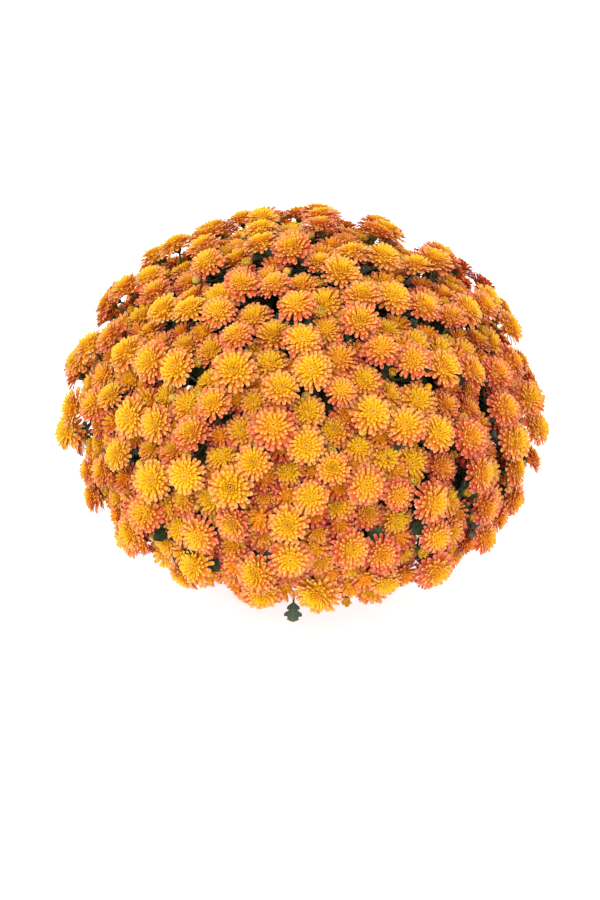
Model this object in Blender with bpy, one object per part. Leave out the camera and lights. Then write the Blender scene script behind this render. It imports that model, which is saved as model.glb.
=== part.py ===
"""Pot chrysanthemum: a mounded garden chrysanthemum in full bloom, in a plain round pot.

A crown of stems stands in the soil. Each stem carries lobed leaves and ends in a spray: a short
axis with a stalk to every bloom. The blooms of all the sprays together make the dome.
Metres, +Z up, origin at the centre of the pot's flat base.
"""

import math
import random

import bmesh
import bpy
import numpy as np
from mathutils import Matrix, Vector
from mathutils.bvhtree import BVHTree

# The gap between pieces that touch, and the angle from which an edge of a round piece is sharp
FIT_GAP = 0.0003
SHARP_EDGE = math.radians(30)

# The pot, a low pan of moulded plastic
POT_HEIGHT = 0.125
POT_RIM_RADIUS = 0.100
POT_BASE_RADIUS = 0.070
POT_WALL = 0.0025
RIM_BAND_HEIGHT = 0.014
RIM_BAND_STEP = 0.003
FOOT_CHAMFER = 0.003
POT_SIDES = 24
DRAIN_COUNT = 6
DRAIN_RADIUS = 0.005
DRAIN_SIDES = 6
DRAIN_CIRCLE = 0.050

# The soil, a thumb's width below the rim
SOIL_BELOW_RIM = 0.016
SOIL_TOP = POT_HEIGHT - SOIL_BELOW_RIM
SOIL_RISE = 0.004
SOIL_BUMP = 0.0012
SOIL_WAVES = ((95, 1.3), (83, -0.4))
SOIL_SIDES = 18
SOIL_INNER_RING = 0.62

# The dome: the surface that the blooms' seats lie on, before each is raised or sunk
DOME_RADIUS = 0.221
DOME_RISE = 0.200
DOME_DROP = 0.085
DOME_LEVEL = 0.154
DOME_WAVES = ((2, 0.010, 1.6), (3, 0.012, 0.2), (5, 0.008, 4.0))
SHOULDER_SLOPE = 1.12
SKIRT_TILT = math.radians(121)
FOCUS_HEIGHT = 0.145
GOLDEN_ANGLE = math.pi * (3 - math.sqrt(5))

# Sprays and blooms
SPRAY_COUNT = 28
BLOOM_COUNT = 384
SEED = 11
SCATTER = 0.0065
SETTLE_ROUNDS = 40
SETTLE_SHARE = 0.2
SPACING = 0.0360
NEIGHBOUR_RANGE = 1.3 * SPACING
LEVELS = (0.0, 0.010, -0.010)
SPRAY_SWELL = 0.005
LIGHT_PULL = 0.30
AXIS_SWAY = 0.16
BLOOM_RADIUS = 0.0205
BLOOM_SPREAD = (0.86, 1.04)
BLOOM_GAP = 0.0004
PETALS = 5
INNER_REACH = 0.76
PETAL_DROOP = 0.0012
INNER_LIFT = 0.0058
CROWN_LIFT = 0.0066
CALYX_DEPTH = 0.0085
CALYX_RADIUS = 0.0030
STALK_RADIUS = 0.0011
STALK_SIDES = 3

# Stems and leaves
SPRAY_DEPTH = 0.066
AXIS_RADII = (0.0042, 0.0034)
AXIS_SIDES = 3
AXIS_END = 0.80
LEADER_ROOT = 0.75
ROOT_RANGE = (0.08, 0.66)
BRANCH_ANGLE = math.radians(38)
STEM_RADIUS = 0.0034
STEM_SIDES = 3
STEM_STEPS = 3
STEM_CIRCLE = 0.060
STEM_SOCKET = 0.030
STEM_FOOT = SOIL_TOP + SOIL_RISE + SOIL_BUMP
STEM_PULL = 0.4
LEAVES_PER_STEM = 2
LEAF_LENGTH = (0.040, 0.058)
LEAF_WIDTH = 0.62
LEAF_THICKNESS = 0.0018
LEAF_MIDDLE = 0.55
LEAF_ARCH = 0.30
LEAF_SAG = 0.12
LEAF_RISE = 0.8
LEAF_TURN = 1.1
LEAF_TRIES = 14
LEAF_TOP = 0.23
LEAF_STEP = 0.65
# Half of a leaf's lobed edge from root to tip, as (share of its length, share of its half width)
LEAF_EDGE = ((0.34, 0.78), (0.50, 0.40), (0.66, 1.0), (0.78, 0.42))


def clear_scene():
    for obj in list(bpy.data.objects):
        bpy.data.objects.remove(obj, do_unlink=True)


def material(name, colour, roughness, metallic=0.0):
    made = bpy.data.materials.new(name)
    made.use_nodes = True
    shader = made.node_tree.nodes["Principled BSDF"]
    shader.inputs["Base Color"].default_value = (*colour, 1.0)
    shader.inputs["Roughness"].default_value = roughness
    shader.inputs["Metallic"].default_value = metallic
    return made


def object_from(name, bm, finish=None):
    """A named object with this bmesh's faces."""
    mesh = bpy.data.meshes.new(name)
    bm.to_mesh(mesh)
    bm.free()
    obj = bpy.data.objects.new(name, mesh)
    bpy.context.scene.collection.objects.link(obj)
    if finish:
        mesh.materials.append(finish)
    return obj


def fuse(obj, pieces, operation="UNION"):
    """Joins the pieces to obj, or cuts them from it, in one Boolean on their collection."""
    helpers = bpy.data.collections.new(obj.name + "_pieces")
    bpy.context.scene.collection.children.link(helpers)
    for piece in pieces:
        bpy.context.scene.collection.objects.unlink(piece)
        helpers.objects.link(piece)
    modifier = obj.modifiers.new("fuse", "BOOLEAN")
    modifier.operation = operation
    modifier.operand_type = "COLLECTION"
    modifier.collection = helpers
    modifier.solver = "EXACT"
    bpy.context.view_layer.update()
    graph = bpy.context.evaluated_depsgraph_get()
    fused = bpy.data.meshes.new_from_object(obj.evaluated_get(graph))
    obj.modifiers.clear()
    obj.data = fused
    for piece in list(helpers.objects):
        bpy.data.objects.remove(piece, do_unlink=True)
    bpy.data.collections.remove(helpers)
    return obj


def tree_of(obj):
    """The object's faces in a form that answers whether they cross another object's."""
    vertices = [v.co.copy() for v in obj.data.vertices]
    faces = [tuple(p.vertices) for p in obj.data.polygons]
    return BVHTree.FromPolygons(vertices, faces)


def pot_inside_radius(height):
    """Radius of the pot's inner wall at a height."""
    flare = (POT_RIM_RADIUS - RIM_BAND_STEP - POT_BASE_RADIUS) / POT_HEIGHT
    return POT_BASE_RADIUS + flare * height - POT_WALL


def make_pot(finish):
    """The pot, spun from its section, with drainage holes through its base."""
    band_foot = POT_HEIGHT - RIM_BAND_HEIGHT
    section = [
        (0, 0),
        (POT_BASE_RADIUS - FOOT_CHAMFER, 0),
        (POT_BASE_RADIUS, FOOT_CHAMFER),
        (pot_inside_radius(band_foot) + POT_WALL, band_foot),
        (POT_RIM_RADIUS, band_foot + RIM_BAND_STEP / 2),
        (POT_RIM_RADIUS, POT_HEIGHT),
        (pot_inside_radius(POT_HEIGHT), POT_HEIGHT),
        (pot_inside_radius(POT_WALL), POT_WALL),
        (0, POT_WALL),
    ]
    bm = bmesh.new()
    points = [bm.verts.new((radius, 0, height)) for radius, height in section]
    edges = [bm.edges.new(pair) for pair in zip(points, points[1:])]
    bmesh.ops.spin(
        bm,
        geom=points + edges,
        cent=(0, 0, 0),
        axis=(0, 0, 1),
        angle=math.tau,
        steps=POT_SIDES,
        use_merge=True,
    )
    bmesh.ops.remove_doubles(bm, verts=bm.verts, dist=1e-6)
    bmesh.ops.recalc_face_normals(bm, faces=bm.faces)
    pot = object_from("pot", bm, finish)
    drains = []
    for k in range(DRAIN_COUNT):
        turn = Matrix.Rotation(math.tau * k / DRAIN_COUNT, 4, "Z")
        place = turn @ Matrix.Translation((DRAIN_CIRCLE, 0, POT_WALL / 2))
        drains.append(prism(f"drain_{k}", place, DRAIN_RADIUS, DRAIN_SIDES, 4 * POT_WALL))
    fuse(pot, drains, "DIFFERENCE")
    pot.data.shade_smooth()
    pot.data.set_sharp_from_angle(angle=SHARP_EDGE)
    return pot


def prism(name, place, radius, sides, depth):
    """A straight rod with its middle at a place, for cutting a hole."""
    bm = bmesh.new()
    ends = [Matrix.Translation((0, 0, height)) for height in (-depth / 2, depth / 2)]
    tube(bm, [ring_of(bm, place @ end, radius, sides) for end in ends])
    return object_from(name, bm)


def soil_height(x, y):
    """Height of the soil's uneven top, raised a little towards the crown."""
    away = math.hypot(x, y) / POT_RIM_RADIUS
    (along_x, shift_x), (along_y, shift_y) = SOIL_WAVES
    bumps = math.sin(along_x * x + shift_x) * math.cos(along_y * y + shift_y)
    return SOIL_TOP + SOIL_RISE * (1 - away) + SOIL_BUMP * bumps


def make_soil(finish, sprays):
    """The soil as one solid, with a plain hole for each stem."""
    bm = bmesh.new()
    floor = POT_WALL + FIT_GAP
    wall_gap = FIT_GAP / math.cos(math.pi / SOIL_SIDES)
    inside = math.cos(math.pi / POT_SIDES)
    rings = []
    for level in (floor, SOIL_TOP):
        radius = pot_inside_radius(level) * inside - wall_gap
        rings.append(ring_of(bm, Matrix.Translation((0, 0, level)), radius, SOIL_SIDES))
    rings.append(ring_of(bm, Matrix.Identity(4), radius * SOIL_INNER_RING, SOIL_SIDES))
    for vertex in rings[-1]:
        vertex.co.z = soil_height(vertex.co.x, vertex.co.y)
    for lower, upper in zip(rings, rings[1:]):
        bridge(bm, lower, upper)
    top = bm.verts.new((0, 0, soil_height(0, 0)))
    for k in range(SOIL_SIDES):
        bm.faces.new((rings[-1][k], rings[-1][(k + 1) % SOIL_SIDES], top))
    bm.faces.new(list(reversed(rings[0])))
    bmesh.ops.triangulate(bm, faces=bm.faces)
    soil = object_from("soil", bm, finish)
    holes = []
    for spray in sprays:
        place = stem_frame(spray["foot"], spray, Vector((0, 0, 1)))
        radius = STEM_RADIUS + FIT_GAP / math.cos(math.pi / STEM_SIDES)
        holes.append(prism("hole", place, radius, STEM_SIDES, 2 * (STEM_SOCKET + FIT_GAP)))
    return fuse(soil, holes, "DIFFERENCE")


def dome_girth(turn):
    """The dome's radius at its widest, which waves a little round the plant."""
    return DOME_RADIUS * (1 + sum(size * math.cos(n * turn + phase) for n, size, phase in DOME_WAVES))


def dome_point(tilt, turn):
    """A point of the dome at an angle from its top and a turn about the pot's axis."""
    rise, slope = (DOME_RISE, SHOULDER_SLOPE) if math.cos(tilt) > 0 else (DOME_DROP, 1)
    radius = dome_girth(turn) * math.sin(tilt) ** slope
    height = DOME_LEVEL + rise * math.cos(tilt)
    return Vector((radius * math.cos(turn), radius * math.sin(turn), height))


def dome_normal(point):
    rise = DOME_RISE if point.z > DOME_LEVEL else DOME_DROP
    height = (point.z - DOME_LEVEL) / rise**2
    return Vector((point.x / DOME_RADIUS**2, point.y / DOME_RADIUS**2, height)).normalized()


def dome_tilt(point):
    """The angle from the dome's top at which a point near the dome lies."""
    rise, slope = (DOME_RISE, SHOULDER_SLOPE) if point.z > DOME_LEVEL else (DOME_DROP, 1)
    share = math.hypot(point.x, point.y) / dome_girth(math.atan2(point.y, point.x))
    return math.atan2(share ** (1 / slope), (point.z - DOME_LEVEL) / rise)


def dome_spiral(count):
    """Points spread evenly over the dome on a golden-angle spiral, from its top to its skirt."""
    tilts = np.linspace(0, SKIRT_TILT, 400)
    section = np.array([dome_point(tilt, 0) for tilt in tilts])
    radius, height = np.abs(section[:, 0]), section[:, 2]
    strips = (radius[1:] + radius[:-1]) / 2 * np.hypot(np.diff(radius), np.diff(height))
    area = np.concatenate([[0], np.cumsum(strips)])
    even = np.interp((np.arange(count) + 0.5) / count * area[-1], area, tilts)
    return [dome_point(float(tilt), k * GOLDEN_ANGLE) for k, tilt in enumerate(even)]


def settled(points):
    """The points pushed apart along the dome, as crowded blooms make room for each other."""
    for _ in range(SETTLE_ROUNDS):
        places = np.array(points)
        apart = places[:, None] - places[None]
        away = np.linalg.norm(apart, axis=2)
        push = np.clip(SPACING - away, 0, None) / np.maximum(away, 1e-6)
        moves = (apart * push[:, :, None]).sum(axis=1) * SETTLE_SHARE
        moved = []
        for point, move in zip(points, moves):
            near = point + Vector(move)
            tilt = min(dome_tilt(near), SKIRT_TILT)
            moved.append(dome_point(tilt, math.atan2(near.y, near.x)))
        points = moved
    return points


def plan_sprays():
    """The sprays, each with its stem's foot, its fork, and its blooms' seats, axes and sizes."""
    rng = random.Random(SEED)
    focus = Vector((0, 0, FOCUS_HEIGHT))
    sprays = []
    for k, middle in enumerate(dome_spiral(SPRAY_COUNT)):
        aim = (middle - focus).normalized()
        turn = math.atan2(middle.y, middle.x)
        foot = STEM_CIRCLE * math.sqrt(dome_tilt(middle) / SKIRT_TILT)
        sprays.append(
            {
                "name": f"{k + 1:02d}",
                "number": k,
                "aim": aim,
                "fork": middle - aim * SPRAY_DEPTH,
                "foot": Vector((foot * math.cos(turn), foot * math.sin(turn), STEM_FOOT)),
                "turn": turn,
                "swell": rng.uniform(-1, 1) * SPRAY_SWELL,
                "blooms": [],
            }
        )
    points = []
    for point in dome_spiral(BLOOM_COUNT):
        shift = Vector((rng.uniform(-1, 1), rng.uniform(-1, 1), rng.uniform(-1, 1))) * SCATTER
        points.append(point + shift)
    blooms = []
    for point in settled(points):
        normal = dome_normal(point)
        spray = max(sprays, key=lambda s: s["aim"].dot((point - focus).normalized()))
        level = best_level(point, blooms)
        sway = Vector((rng.uniform(-1, 1), rng.uniform(-1, 1), rng.uniform(-1, 1))) * AXIS_SWAY
        bloom = {
            "place": point,
            "level": level,
            "seat": point + normal * (level + spray["swell"]),
            "axis": (normal + Vector((0, 0, LIGHT_PULL)) + sway).normalized(),
            "size": BLOOM_RADIUS * rng.uniform(*BLOOM_SPREAD),
            "roll": rng.uniform(0, math.tau),
        }
        blooms.append(bloom)
        spray["blooms"].append(bloom)
    for bloom in blooms:
        bloom["reach"] = clear_reach(bloom, blooms)
    return sprays


def best_level(point, blooms):
    """The level, raised, flush or sunk, that sets a bloom best apart from those already placed."""
    near = [b for b in blooms if (b["place"] - point).length < NEIGHBOUR_RANGE]

    def room(level):
        steps = [abs(level - b["level"]) / (b["place"] - point).length for b in near]
        return (round(sum(steps), 6), -abs(level))

    return max(LEVELS, key=room)


def clear_reach(bloom, blooms):
    """How far a bloom's petals reach, kept clear of its neighbours'."""
    reach = bloom["size"]
    for other in blooms:
        if other is bloom:
            continue
        apart = (other["seat"] - bloom["seat"]).length
        share = bloom["size"] / (bloom["size"] + other["size"])
        reach = min(reach, (apart - BLOOM_GAP) * share)
    return reach


def frame_at(point, axis, roll=0.0):
    """A matrix at a point with its +Z along an axis."""
    turn = Vector((0, 0, 1)).rotation_difference(axis).to_matrix().to_4x4()
    return Matrix.Translation(point) @ turn @ Matrix.Rotation(roll, 4, "Z")


def stem_frame(point, spray, axis):
    """A matrix at a point with its +Z along an axis and its +X square to the stem's upright plane."""
    side = Vector((-math.sin(spray["turn"]), math.cos(spray["turn"]), 0))
    across = axis.cross(side).normalized()
    turn = Matrix((across.cross(axis), across, axis)).transposed().to_4x4()
    return Matrix.Translation(point) @ turn


def ring_of(bm, place, radius, sides):
    turns = [math.tau * k / sides for k in range(sides)]
    return [bm.verts.new(place @ Vector((radius * math.cos(t), radius * math.sin(t), 0))) for t in turns]


def bridge(bm, lower, upper):
    for k in range(len(lower)):
        n = (k + 1) % len(lower)
        bm.faces.new((lower[k], lower[n], upper[n], upper[k]))


def tube(bm, rings):
    """Walls from ring to ring, with both ends closed."""
    for lower, upper in zip(rings, rings[1:]):
        bridge(bm, lower, upper)
    bm.faces.new(list(reversed(rings[0])))
    bm.faces.new(rings[-1])


def make_bloom(bloom, root):
    """A bloom of long low petals and short raised ones, with its calyx and the stalk from its root."""
    bm = bmesh.new()
    place = frame_at(bloom["seat"], bloom["axis"], bloom["roll"])
    count = 2 * PETALS
    rim = []
    for k in range(count):
        turn = math.tau * k / count
        outer = k % 2 == 0
        radius = bloom["reach"] * (1 if outer else INNER_REACH)
        height = -PETAL_DROOP if outer else INNER_LIFT
        rim.append(bm.verts.new(place @ Vector((radius * math.cos(turn), radius * math.sin(turn), height))))
    crown = bm.verts.new(place @ Vector((0, 0, CROWN_LIFT)))
    neck = place @ Vector((0, 0, -CALYX_DEPTH))
    under = place @ Matrix.Translation((0, 0, -CALYX_DEPTH)) @ Matrix.Rotation(math.pi / STALK_SIDES, 4, "Z")
    calyx = ring_of(bm, under, CALYX_RADIUS, STALK_SIDES)
    foot = [bm.verts.new(root + (v.co - neck) * STALK_RADIUS / CALYX_RADIUS) for v in calyx]
    for k in range(count):
        n = (k + 1) % count
        side, following = k * STALK_SIDES // count, n * STALK_SIDES // count
        bm.faces.new((rim[k], rim[n], crown))
        bm.faces.new((rim[n], rim[k], calyx[side]))
        if following != side:
            bm.faces.new((rim[n], calyx[side], calyx[following]))
    bridge(bm, foot, calyx)
    bm.faces.new(list(reversed(foot)))
    return object_from("bloom", bm)


def make_spray(spray, finish):
    """The spray's axis, which ends in its middle bloom, with the other blooms' stalks sunk in it."""
    fork, aim = spray["fork"], spray["aim"]
    leader = max(spray["blooms"], key=lambda b: aim.dot((b["seat"] - fork).normalized()))
    along = leader["seat"] - leader["axis"] * CALYX_DEPTH - fork
    ahead = along.normalized()

    def branching(bloom):
        """How far up the axis a stalk leaves it at the branching angle to reach a bloom."""
        away = bloom["seat"] - bloom["axis"] * CALYX_DEPTH - fork
        height = away.dot(ahead)
        return height - (away - ahead * height).length / math.tan(BRANCH_ANGLE)

    bm = bmesh.new()
    thick, thin = AXIS_RADII
    lower = ring_of(bm, stem_frame(fork + aim * FIT_GAP, spray, aim), thick, AXIS_SIDES)
    upper = ring_of(bm, stem_frame(fork + along * AXIS_END, spray, ahead), thin, AXIS_SIDES)
    tube(bm, [lower, upper])
    axis = object_from("spray_" + spray["name"], bm, finish)
    pieces = [make_bloom(leader, fork + along * LEADER_ROOT)]
    others = sorted((b for b in spray["blooms"] if b is not leader), key=branching)
    low, high = ROOT_RANGE
    for k, bloom in enumerate(others):
        share = low + (high - low) * (k + 0.5) / len(others)
        pieces.append(make_bloom(bloom, fork + along * share))
    return fuse(axis, pieces)


def stem_path(spray):
    """Points along a stem: up out of the soil, then out into the line of its spray."""
    foot, fork, aim = spray["foot"], spray["fork"], spray["aim"]
    pull = (fork - foot).length * STEM_PULL
    first = foot + Vector((0, 0, pull))
    last = fork - aim * pull
    points = [foot - Vector((0, 0, STEM_SOCKET))]
    for k in range(STEM_STEPS + 1):
        t = k / STEM_STEPS
        s = 1 - t
        points.append(foot * s**3 + first * 3 * t * s**2 + last * 3 * t**2 * s + fork * t**3)
    return points


def make_stem(spray, finish):
    """A bare stem from its socket in the soil to its fork."""
    bm = bmesh.new()
    points = stem_path(spray)
    rings = []
    for k, point in enumerate(points):
        if k < 2:
            axis = Vector((0, 0, 1))
        elif k == len(points) - 1:
            axis = spray["aim"]
        else:
            axis = (points[k + 1] - points[k - 1]).normalized()
        rings.append(ring_of(bm, stem_frame(point, spray, axis), STEM_RADIUS, STEM_SIDES))
    tube(bm, rings)
    return object_from("stem_" + spray["name"], bm, finish)


def make_leaf(root, out, up, length):
    """A lobed leaf, thickest along its rib, that arches out from its root."""
    bm = bmesh.new()
    side = out.cross(up).normalized()
    up = side.cross(out).normalized()
    half_width = LEAF_WIDTH * length / 2

    def place(along, across, lift):
        arch = LEAF_ARCH * length * along * (1 - along) - LEAF_SAG * half_width * abs(across)
        return bm.verts.new(root + out * along * length + side * across * half_width + up * (arch + lift))

    right = [place(along, across, 0) for along, across in LEAF_EDGE]
    left = [place(along, -across, 0) for along, across in reversed(LEAF_EDGE)]
    rim = [place(0, 0, 0)] + right + [place(1, 0, 0)] + left
    top = place(LEAF_MIDDLE, 0, LEAF_THICKNESS / 2)
    under = place(LEAF_MIDDLE, 0, -LEAF_THICKNESS / 2)
    for k in range(len(rim)):
        n = (k + 1) % len(rim)
        bm.faces.new((rim[k], rim[n], top))
        bm.faces.new((rim[n], rim[k], under))
    bmesh.ops.recalc_face_normals(bm, faces=bm.faces)
    return object_from("leaf", bm)


def clear_leaf(spray, k, neighbours):
    """A leaf on a stem, turned and then shortened until it crosses nothing else, or None."""
    points = stem_path(spray)
    at = len(points) - 1 - LEAF_TOP - LEAF_STEP * k
    low = int(at)
    along = (points[low + 1] - points[low]).normalized()
    root = points[low].lerp(points[low + 1], at - low)
    around = stem_frame(root, spray, along).to_3x3().col[0]
    shortest, longest = LEAF_LENGTH
    for attempt in range(LEAF_TRIES):
        turn = (spray["number"] + attempt) * LEAF_TURN + k * GOLDEN_ANGLE
        out = (Matrix.Rotation(turn, 3, along) @ around + along * LEAF_RISE).normalized()
        length = longest - (longest - shortest) * attempt / (LEAF_TRIES - 1)
        leaf = make_leaf(root, out, along, length)
        tree = tree_of(leaf)
        if not any(tree.overlap(other) for other in neighbours):
            return leaf
        bpy.data.objects.remove(leaf, do_unlink=True)
    return None


def main():
    clear_scene()
    petal = material("petal", (0.93, 0.47, 0.09), 0.55)
    green = material("leaf", (0.10, 0.20, 0.06), 0.55)
    plastic = material("pot", (0.42, 0.17, 0.09), 0.50)
    earth = material("soil", (0.07, 0.045, 0.03), 0.95)
    sprays = plan_sprays()
    fixed = [make_pot(plastic), make_soil(earth, sprays)]
    fixed += [make_spray(spray, petal) for spray in sprays]
    stems = [make_stem(spray, green) for spray in sprays]
    trees = [tree_of(obj) for obj in fixed]
    stem_trees = [tree_of(stem) for stem in stems]
    for spray, stem in zip(sprays, stems):
        others = trees + stem_trees[: spray["number"]] + stem_trees[spray["number"] + 1 :]
        leaves = []
        for k in range(LEAVES_PER_STEM):
            leaf = clear_leaf(spray, k, others)
            if leaf:
                leaves.append(leaf)
                trees.append(tree_of(leaf))
                others.append(trees[-1])
        fuse(stem, leaves)


main()
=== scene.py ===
# %% [markdown]
# Dressing a pot chrysanthemum
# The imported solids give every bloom, stem, leaf and the pot their place and size. This lesson
# models the finer pieces that stand for them: petals in rings, lobed leaves, round stems, a
# moulded pot and crumbly soil. Each step is a cell that prints what it made.

import math
import random

import bmesh
import bpy
import numpy as np
from mathutils import Matrix, Vector


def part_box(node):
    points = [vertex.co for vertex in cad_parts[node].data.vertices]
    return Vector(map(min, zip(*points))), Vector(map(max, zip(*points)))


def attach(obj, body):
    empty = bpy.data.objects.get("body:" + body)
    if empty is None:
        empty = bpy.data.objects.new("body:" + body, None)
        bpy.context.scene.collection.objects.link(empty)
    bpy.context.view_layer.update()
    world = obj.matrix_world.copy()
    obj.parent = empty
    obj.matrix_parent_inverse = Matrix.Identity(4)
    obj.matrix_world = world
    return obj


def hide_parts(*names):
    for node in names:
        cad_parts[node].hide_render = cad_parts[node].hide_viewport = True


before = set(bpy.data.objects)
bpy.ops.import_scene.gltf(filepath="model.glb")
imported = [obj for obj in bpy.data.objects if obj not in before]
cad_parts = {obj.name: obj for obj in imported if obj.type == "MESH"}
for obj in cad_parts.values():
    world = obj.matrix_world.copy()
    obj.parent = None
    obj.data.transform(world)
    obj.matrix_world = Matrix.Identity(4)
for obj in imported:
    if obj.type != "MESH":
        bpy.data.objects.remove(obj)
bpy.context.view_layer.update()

# %% [markdown]
# The camera and the light
# The plant is seen from about 40 degrees above, from nearly three metres away, so its far side
# looks only a little smaller. A single lamp would throw hard shadows between the blooms, so a
# bright, even sky gives the soft light of a white studio. One large lamp above the left shoulder
# gives the petals their bright upper sides, and two weaker ones lift the right side and the back.

# %% Camera
IMAGE_HEIGHT = 900
VIEW_ELEVATION = math.radians(40)
VIEW_DISTANCE = 2.8
VIEW_TARGET = Vector((-0.003, 0, 0.1224))
METRES_PER_PIXEL = 0.001002
SENSOR = 36.0

camera_data = bpy.data.cameras.new("camera")
camera_data.sensor_fit = "VERTICAL"
camera_data.sensor_height = SENSOR
camera_data.lens = SENSOR * VIEW_DISTANCE / (IMAGE_HEIGHT * METRES_PER_PIXEL)
camera = bpy.data.objects.new("camera", camera_data)
back = Vector((0, -math.cos(VIEW_ELEVATION), math.sin(VIEW_ELEVATION)))
camera.location = VIEW_TARGET + back * VIEW_DISTANCE
camera.rotation_euler = (math.pi / 2 - VIEW_ELEVATION, 0, 0)
bpy.context.scene.collection.objects.link(camera)
bpy.context.scene.camera = camera
bpy.context.scene.view_settings.view_transform = "Standard"
print("camera lens", round(camera_data.lens, 1), "mm")

# %% Sky and lamps
SKY_COLOUR = (1.0, 0.99, 0.98, 1)
SKY_STRENGTH = 0.88
# Each lamp: name, place, the point it faces, size in metres, power in watts
LAMPS = (
    ("key", (-1.1, -1.3, 2.3), (0, 0, 0.2), 1.1, 26),
    ("fill", (1.6, -1.2, 1.6), (0, 0, 0.2), 1.6, 9),
    ("back", (0.4, 1.7, 1.9), (0, 0, 0.25), 1.4, 18),
)

world = bpy.data.worlds.new("studio")
world.use_nodes = True
sky = world.node_tree.nodes["Background"].inputs
sky["Color"].default_value = SKY_COLOUR
sky["Strength"].default_value = SKY_STRENGTH
bpy.context.scene.world = world
for name, place, aim, size, power in LAMPS:
    data = bpy.data.lights.new(name, "AREA")
    data.size = size
    data.energy = power
    lamp = bpy.data.objects.new(name, data)
    lamp.location = place
    lamp.rotation_euler = (Vector(aim) - Vector(place)).to_track_quat("-Z", "Y").to_euler()
    bpy.context.scene.collection.objects.link(lamp)
print(len(LAMPS), "lamps")

# %% [markdown]
# Paints in short calls
# A finish such as a petal's is a chain of small nodes: where a point lies, sums on that, and
# colours mixed by the result. In the editor they are wired by hand, and a script that wires them
# one by one is hard to read. So each node is added by a short call that gives back its output.


# %% A paint and its nodes
def srgb(red, green, blue):
    """A colour given as on a screen, 0 to 255, in the linear values that a shader takes."""
    shares = (red / 255, green / 255, blue / 255)
    return tuple(((v + 0.055) / 1.055) ** 2.4 if v > 0.04 else v / 12.92 for v in shares)


class Paint:
    """A new material, with the usual shader and output, to which nodes are added."""

    def __init__(self, name):
        self.material = bpy.data.materials.new(name)
        self.material.use_nodes = True
        self.tree = self.material.node_tree
        self.shader = self.tree.nodes["Principled BSDF"]

    def feed(self, sockets, values):
        """Links outputs to sockets by their name or number, or sets them to colours or numbers."""
        for key, value in values.items():
            if isinstance(value, bpy.types.NodeSocket):
                self.tree.links.new(value, sockets[key])
            elif value is not None:
                sockets[key].default_value = (*value, 1) if isinstance(value, tuple) else value

    def node(self, kind, values, **settings):
        made = self.tree.nodes.new(kind)
        for key, setting in settings.items():
            setattr(made, key, setting)
        self.feed(made.inputs, values)
        return made

    def maths(self, operation, a, b=None, clamp=False):
        return self.node("ShaderNodeMath", {0: a, 1: b}, operation=operation, use_clamp=clamp).outputs[0]

    def times(self, a, b):
        return self.maths("MULTIPLY", a, b)

    def plus(self, a, b, clamp=False):
        return self.maths("ADD", a, b, clamp)

    def minus(self, a, b, clamp=False):
        return self.maths("SUBTRACT", a, b, clamp)

    def past(self, value, start, slope):
        """How far a value is past a start, times a slope, kept between 0 and 1."""
        return self.maths("MULTIPLY", self.minus(value, start), slope, clamp=True)

    def crests(self, wave, power):
        """A wave's crests, from 0 to 1, narrower the higher the power."""
        return self.maths("POWER", self.times(self.plus(wave, 1.0), 0.5), power)

    def mixed(self, factor, a, b, blend="MIX"):
        values = {0: factor, 6: a, 7: b}
        return self.node("ShaderNodeMix", values, data_type="RGBA", blend_type=blend).outputs[2]

    def ramp(self, factor, *stops):
        """A colour ramp through stops of (position, colour)."""
        made = self.node("ShaderNodeValToRGB", {0: factor})
        elements = made.color_ramp.elements
        while len(elements) < len(stops):
            elements.new(0.5)
        for element, (position, colour) in zip(elements, stops):
            element.position = position
            element.color = (*colour, 1)
        return made.outputs["Color"]

    def noise(self, coordinates, scale, detail=2.0):
        values = {"Vector": coordinates, "Scale": scale, "Detail": detail}
        return self.node("ShaderNodeTexNoise", values).outputs["Fac"]

    def place(self):
        """Where a point lies on the object, in metres."""
        return self.node("ShaderNodeTexCoord", {}).outputs["Object"]

    def kept(self, name):
        """The three values that the mesh keeps under a name."""
        vector = self.node("ShaderNodeAttribute", {}, attribute_name=name).outputs["Vector"]
        return self.node("ShaderNodeSeparateXYZ", {0: vector}).outputs

    def relief(self, height, strength, distance):
        """A fine relief, which the light shows without any more faces."""
        values = {"Strength": strength, "Distance": distance, "Height": height}
        self.feed(self.shader.inputs, {"Normal": self.node("ShaderNodeBump", values).outputs[0]})

    def surface(self, values):
        """Feeds the shader's own sockets."""
        self.feed(self.shader.inputs, values)
        print(self.material.name, "has", len(self.tree.nodes), "nodes")


def painted(piece, paint):
    """Gives a piece this paint alone."""
    piece.data.materials.clear()
    piece.data.materials.append(paint.material)


# %% [markdown]
# The floor
# The plant stands on a plain white table. Under soft light a white sheet looks grey, so this one
# glows a little, and a faint cloudiness keeps it from being flat.


# %% Floor
def deselect():
    """Nothing selected, so that the next operator acts on the new piece alone."""
    if bpy.context.mode != "OBJECT":
        bpy.ops.object.mode_set(mode="OBJECT")
    bpy.ops.object.select_all(action="DESELECT")


paint = Paint("floor")
pale = paint.ramp(paint.noise(paint.place(), 3.0), (0.3, (0.86, 0.86, 0.86)), (0.7, (0.90, 0.90, 0.90)))
paint.surface({"Base Color": pale, "Roughness": 0.9, "Emission Color": (1, 1, 1), "Emission Strength": 0.65})
deselect()
bpy.ops.mesh.primitive_plane_add(size=16, location=(0, 0, -0.0005))
floor = bpy.context.object
floor.name = "floor"
painted(floor, paint)
print("a floor", floor.dimensions.x, "m wide")

# %% [markdown]
# Where the blooms are
# A mounded chrysanthemum is a crown of stems that fork into sprays, and the sprays' blooms
# crowd into one dome. The solids were placed by a seeded rule: golden-angle points on the dome,
# pushed apart as crowded blooms make room for each other. The same rule and the same draws are
# repeated here, so that each fine bloom sits exactly where its solid is.

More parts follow.
